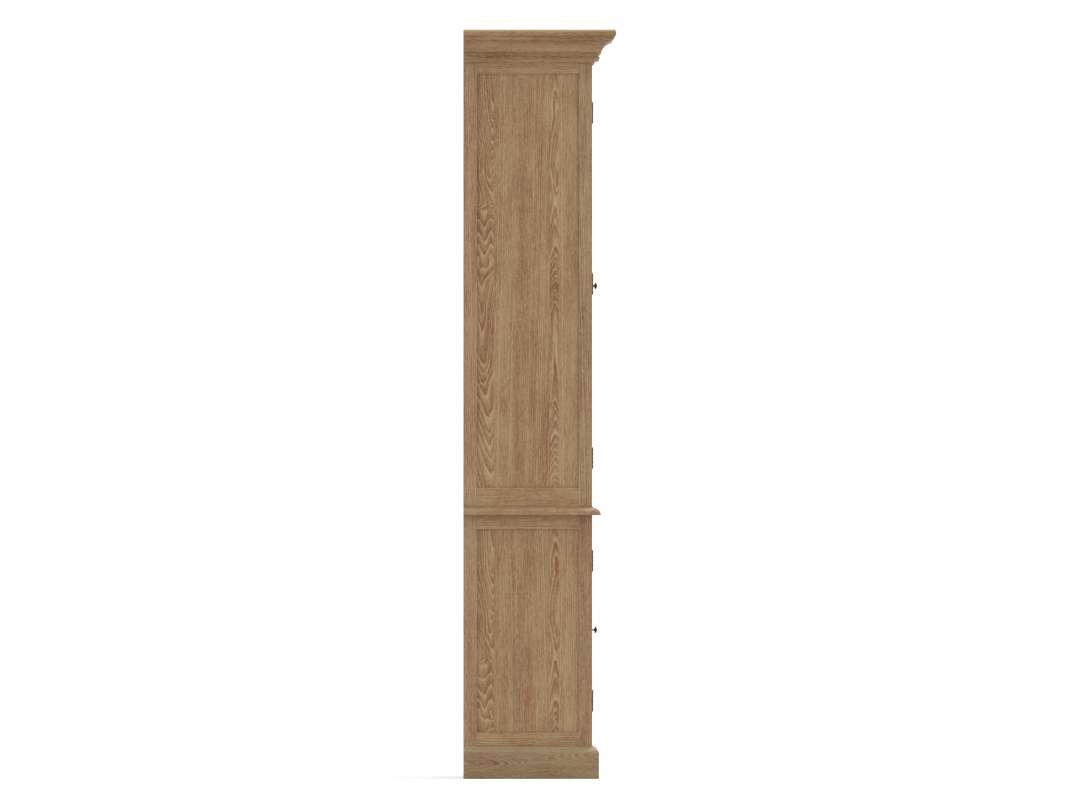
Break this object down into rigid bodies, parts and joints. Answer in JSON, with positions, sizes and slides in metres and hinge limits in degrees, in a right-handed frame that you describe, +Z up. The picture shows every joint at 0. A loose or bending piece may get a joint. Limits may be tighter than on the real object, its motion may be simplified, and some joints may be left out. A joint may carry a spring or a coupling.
{
  "type": "pantry cabinet",
  "caption": "Tall two-part wooden pantry cabinet with moulded crown, waist and plinth, panelled sides, and paired inset doors on butt hinges over and under.",
  "frame": {"origin": "on the floor, under the middle of the crown's outline: the bottom centre of the bounding box", "axes": "+Z up, +Y towards the wall behind, the doors face -Y, +X to the right of someone facing the doors"},
  "size_m": [1.214, 0.49, 2.4],
  "materials": {
    "limed_oak": "limed open-grain oak, satin-matt",
    "plinth_oak": "limed open-grain oak, a little darker, satin-matt",
    "inside_oak": "smooth clear-lacquered oak, satin",
    "back_oak": "oak-faced panel, thin satin lacquer",
    "hinge_bronze": "aged bronze plating, satin",
    "knob_bronze": "dark aged bronze, satin, rubbed on the rim",
    "catch": "moulded brown plastic catch housing"
  },
  "bodies": {
    "carcase": {"plinth_front": "plinth_oak", "plinth_left": "plinth_oak", "plinth_right": "plinth_oak", "base_left_side_frame": "limed_oak", "base_left_side_panel": "limed_oak", "base_right_side_frame": "limed_oak", "base_right_side_panel": "limed_oak", "base_face_frame": "limed_oak", "base_bottom_board": "inside_oak", "base_back_panel": "back_oak", "base_door_catch": "catch", "upper_left_side_frame": "limed_oak", "upper_left_side_panel": "limed_oak", "upper_right_side_frame": "limed_oak", "upper_right_side_panel": "limed_oak", "upper_face_frame": "limed_oak", "upper_bottom_board": "inside_oak", "upper_back_panel": "back_oak", "upper_door_catch": "catch", "base_shelf": "inside_oak", "waist_top_board": "limed_oak", "upper_shelf_1": "inside_oak", "upper_shelf_2": "inside_oak", "upper_shelf_3": "inside_oak", "upper_top_board": "limed_oak", "crown_front": "limed_oak", "crown_left": "limed_oak", "crown_right": "limed_oak", "base_left_door_hinge_1_frame_leaf": "hinge_bronze", "base_left_door_hinge_2_frame_leaf": "hinge_bronze", "base_right_door_hinge_1_frame_leaf": "hinge_bronze", "base_right_door_hinge_2_frame_leaf": "hinge_bronze", "upper_left_door_hinge_1_frame_leaf": "hinge_bronze", "upper_left_door_hinge_2_frame_leaf": "hinge_bronze", "upper_left_door_hinge_3_frame_leaf": "hinge_bronze", "upper_right_door_hinge_1_frame_leaf": "hinge_bronze", "upper_right_door_hinge_2_frame_leaf": "hinge_bronze", "upper_right_door_hinge_3_frame_leaf": "hinge_bronze"},
    "base_left_door": {"base_left_door_frame": "limed_oak", "base_left_door_panel": "limed_oak", "base_left_door_knob": "knob_bronze", "base_left_door_hinge_1_door_leaf": "hinge_bronze", "base_left_door_hinge_2_door_leaf": "hinge_bronze"},
    "base_right_door": {"base_right_door_frame": "limed_oak", "base_right_door_panel": "limed_oak", "base_right_door_knob": "knob_bronze", "base_right_door_hinge_1_door_leaf": "hinge_bronze", "base_right_door_hinge_2_door_leaf": "hinge_bronze"},
    "upper_left_door": {"upper_left_door_frame": "limed_oak", "upper_left_door_panel": "limed_oak", "upper_left_door_knob": "knob_bronze", "upper_left_door_hinge_1_door_leaf": "hinge_bronze", "upper_left_door_hinge_2_door_leaf": "hinge_bronze", "upper_left_door_hinge_3_door_leaf": "hinge_bronze"},
    "upper_right_door": {"upper_right_door_frame": "limed_oak", "upper_right_door_panel": "limed_oak", "upper_right_door_knob": "knob_bronze", "upper_right_door_hinge_1_door_leaf": "hinge_bronze", "upper_right_door_hinge_2_door_leaf": "hinge_bronze", "upper_right_door_hinge_3_door_leaf": "hinge_bronze"}
  },
  "joints": [
    {"name": "base_left_door_hinge", "type": "hinge", "parent": "carcase", "child": "base_left_door", "pos_m": [-0.4835, -0.1681, 0.474], "axis": [0, 0, -1], "range_deg": [0, 165]},
    {"name": "base_right_door_hinge", "type": "hinge", "parent": "carcase", "child": "base_right_door", "pos_m": [0.4835, -0.1681, 0.474], "axis": [0, 0, 1], "range_deg": [0, 165]},
    {"name": "upper_left_door_hinge", "type": "hinge", "parent": "carcase", "child": "upper_left_door", "pos_m": [-0.4835, -0.1681, 1.5805], "axis": [0, 0, -1], "range_deg": [0, 165]},
    {"name": "upper_right_door_hinge", "type": "hinge", "parent": "carcase", "child": "upper_right_door", "pos_m": [0.4835, -0.1681, 1.5805], "axis": [0, 0, 1], "range_deg": [0, 165]}
  ]
}
